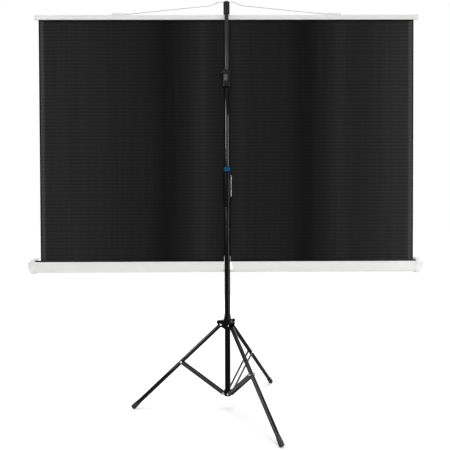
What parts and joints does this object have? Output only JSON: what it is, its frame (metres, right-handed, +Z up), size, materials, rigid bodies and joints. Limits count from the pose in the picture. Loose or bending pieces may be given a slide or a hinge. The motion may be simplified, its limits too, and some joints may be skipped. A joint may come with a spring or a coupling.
{
  "type": "tripod projection screen",
  "caption": "Pull-up projection screen on a folding tripod: telescoping mast with a hook, roller case, black-backed sheet and a top bar on a wire bail.",
  "frame": {"origin": "on the floor under the middle of the screen's outline", "axes": "+Z up, +X along the case to the right as the picture shows it, +Y towards the viewing side of the sheet"},
  "size_m": [1.978, 0.8418, 2.0378],
  "materials": {
    "brown_black_tube": "satin",
    "gloss_black_tube": "gloss",
    "black_plastic": "satin",
    "grey_plastic": "satin",
    "blue_plastic": "gloss",
    "white_paint": "satin",
    "white_plastic": "satin",
    "grey_strip": "satin",
    "zinc_plate": "satin",
    "lever_metal": "polished",
    "pin_steel": "satin",
    "roller_aluminium": "mill",
    "rubber": "matte",
    "backing_cloth": "matte"
  },
  "bodies": {
    "post": {"lower_tube": "brown_black_tube", "lower_hub": "black_plastic", "grip_body": "black_plastic", "lock_bushing": "blue_plastic", "lever_pin": "pin_steel", "pole_bracket": "zinc_plate", "brace_pin_1": "pin_steel", "brace_pin_2": "pin_steel", "brace_pin_3": "pin_steel"},
    "collar": {"leg_collar": "black_plastic", "leg_pin_1": "pin_steel", "leg_pin_2": "pin_steel", "leg_pin_3": "pin_steel"},
    "knob": {"collar_knob": "black_plastic"},
    "leg_1": {"leg_tube_1": "gloss_black_tube", "leg_foot_1": "rubber", "brace_bush_1": "pin_steel"},
    "brace_1": {"brace_strip_1a": "grey_strip", "brace_strip_1b": "grey_strip"},
    "leg_2": {"leg_tube_2": "gloss_black_tube", "leg_foot_2": "rubber", "brace_bush_2": "pin_steel"},
    "brace_2": {"brace_strip_2a": "grey_strip", "brace_strip_2b": "grey_strip"},
    "leg_3": {"leg_tube_3": "gloss_black_tube", "leg_foot_3": "rubber", "brace_bush_3": "pin_steel"},
    "brace_3": {"brace_strip_3a": "grey_strip", "brace_strip_3b": "grey_strip"},
    "lever": {"lock_lever": "lever_metal", "lock_shoe": "rubber"},
    "middle": {"middle_tube": "gloss_black_tube", "middle_sleeve": "black_plastic", "upper_lock": "black_plastic"},
    "button": {"lock_button": "grey_plastic"},
    "upper": {"upper_tube": "gloss_black_tube", "upper_sleeve": "black_plastic", "hook_cap": "black_plastic"},
    "case": {"case_shell": "white_paint", "end_cap_left": "white_plastic", "end_cap_right": "white_plastic", "slot_lip_near": "black_plastic", "slot_lip_far": "black_plastic", "case_plate": "zinc_plate", "pivot_bolt": "pin_steel", "spring_arbor": "pin_steel", "idle_pin": "pin_steel"},
    "roller": {"roller_tube": "roller_aluminium", "roller_plug_left": "black_plastic", "roller_plug_right": "black_plastic", "fabric_roll": "backing_cloth", "roller_spring": "pin_steel"},
    "top": {"screen_fabric": "backing_cloth", "top_bar": "white_paint", "bar_cap_left": "white_plastic", "bar_cap_right": "white_plastic", "bail_clip_left": "white_plastic", "bail_clip_right": "white_plastic"},
    "bail": {"bail_wire": "zinc_plate"}
  },
  "joints": [
    {"name": "collar_slide", "type": "slide", "parent": "post", "child": "collar", "axis": [0, 0, 1], "range_m": [0, 0.18985]},
    {"name": "knob_turn", "type": "hinge", "parent": "collar", "child": "knob", "pos_m": [0.02709, 0.00881, 0.4495], "axis": [0.9992, -0.0401, 0], "range_deg": [0, 180]},
    {"name": "leg_fold_1", "type": "hinge", "parent": "collar", "child": "leg_1", "pos_m": [-0.02497, 0.0109, 0.427], "axis": [-0.0401, -0.9992, 0], "range_deg": [0, 45.53]},
    {"name": "brace_fold_1", "type": "hinge", "parent": "post", "child": "brace_1", "pos_m": [-0.01548, 0.01052, 0.085], "axis": [-0.0401, -0.9992, 0], "range_deg": [-50.38, 0]},
    {"name": "leg_fold_2", "type": "hinge", "parent": "collar", "child": "leg_2", "pos_m": [0.02334, -0.01964, 0.427], "axis": [0.8854, 0.4648, 0], "range_deg": [0, 45.53]},
    {"name": "brace_fold_2", "type": "hinge", "parent": "post", "child": "brace_2", "pos_m": [0.01892, -0.01123, 0.085], "axis": [0.8854, 0.4648, 0], "range_deg": [-50.38, 0]},
    {"name": "leg_fold_3", "type": "hinge", "parent": "collar", "child": "leg_3", "pos_m": [0.02563, 0.03747, 0.427], "axis": [-0.8453, 0.5344, 0], "range_deg": [0, 45.53]},
    {"name": "brace_fold_3", "type": "hinge", "parent": "post", "child": "brace_3", "pos_m": [0.02056, 0.02944, 0.085], "axis": [-0.8453, 0.5344, 0], "range_deg": [-50.38, 0]},
    {"name": "lever_swing", "type": "hinge", "parent": "post", "child": "lever", "pos_m": [0.028, 0.00957, 1.0575], "axis": [0, 1, 0], "range_deg": [0, 110]},
    {"name": "middle_slide", "type": "slide", "parent": "post", "child": "middle", "axis": [0, 0, 1], "range_m": [-0.39, 0]},
    {"name": "button_push", "type": "slide", "parent": "middle", "child": "button", "axis": [0, 1, 0], "range_m": [0, 0.003], "stiffness_N_per_m": 300, "springref_m": -0.001},
    {"name": "upper_slide", "type": "slide", "parent": "middle", "child": "upper", "axis": [0, 0, 1], "range_m": [-0.27, 0]},
    {"name": "case_swing", "type": "hinge", "parent": "post", "child": "case", "pos_m": [0.008, 0.02847, 0.71095], "axis": [0, 1, 0], "range_deg": [-1.2, 1.2]},
    {"name": "roller_spin", "type": "hinge", "parent": "case", "child": "roller", "pos_m": [0, 0.05267, 0.71095], "axis": [1, 0, 0], "range_deg": [0, 2504.33]},
    {"name": "screen_pull", "type": "slide", "parent": "case", "child": "top", "axis": [0, 0, 1], "range_m": [-0.66, 0], "deforming": ["screen_fabric"]},
    {"name": "bail_swing", "type": "hinge", "parent": "top", "child": "bail", "pos_m": [0.008, 0.03757, 1.9725], "axis": [1, 0, 0], "range_deg": [-1, 1]}
  ],
  "couplings": [
    {"joint": "leg_fold_1", "follows": "collar_slide", "rad_per_m": 4.1851},
    {"joint": "brace_fold_1", "follows": "collar_slide", "rad_per_m": -4.6307},
    {"joint": "leg_fold_2", "follows": "collar_slide", "rad_per_m": 4.1851},
    {"joint": "brace_fold_2", "follows": "collar_slide", "rad_per_m": -4.6307},
    {"joint": "leg_fold_3", "follows": "collar_slide", "rad_per_m": 4.1851},
    {"joint": "brace_fold_3", "follows": "collar_slide", "rad_per_m": -4.6307},
    {"joint": "middle_slide", "follows": "screen_pull", "ratio": 0.59091},
    {"joint": "upper_slide", "follows": "screen_pull", "ratio": 0.40909},
    {"joint": "roller_spin", "follows": "screen_pull", "rad_per_m": -66.225}
  ]
}
